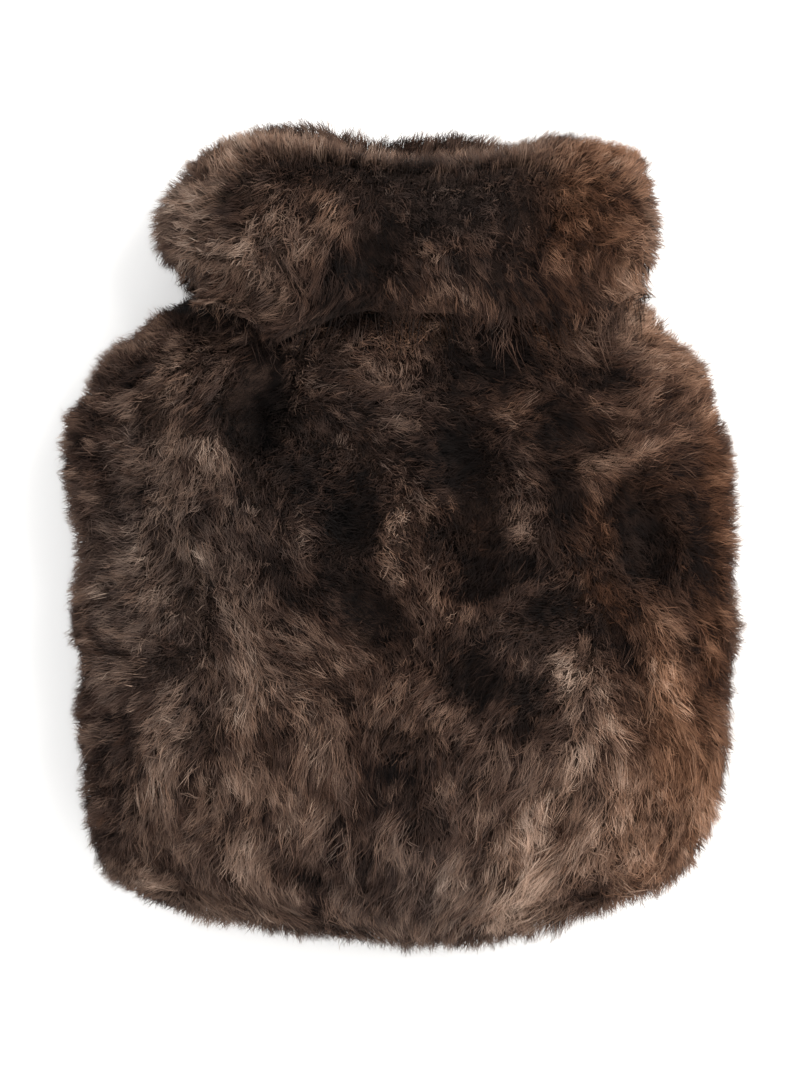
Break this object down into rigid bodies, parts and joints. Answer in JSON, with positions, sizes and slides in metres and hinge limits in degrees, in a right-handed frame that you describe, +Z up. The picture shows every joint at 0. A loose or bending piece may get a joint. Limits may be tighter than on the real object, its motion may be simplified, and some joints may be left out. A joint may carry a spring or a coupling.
{
  "type": "hot water bottle cover",
  "caption": "Soft sheepskin pouch with the wool outside and a turned-down collar round its mouth, which slips over a hot water bottle to keep it warm and take off its heat.",
  "frame": {"origin": "on the surface under the middle of the bounding box, with the cover lying on its back", "axes": "+Z up out of the front, +Y towards the mouth and collar, +X to the right of someone who looks at the front with the collar at the top"},
  "size_m": [0.2801, 0.3401, 0.0697],
  "materials": {
    "wool": "dense undyed brown sheep's wool, soft, with lighter grey-brown and tan tips",
    "hide": "tanned hide with a fine suede nap, the inner side of the sheepskin",
    "thread": "waxed dark brown sewing thread"
  },
  "bodies": {
    "root": {"front_panel": "wool", "back_panel": "wool", "collar": "wool"}
  },
  "joints": []
}
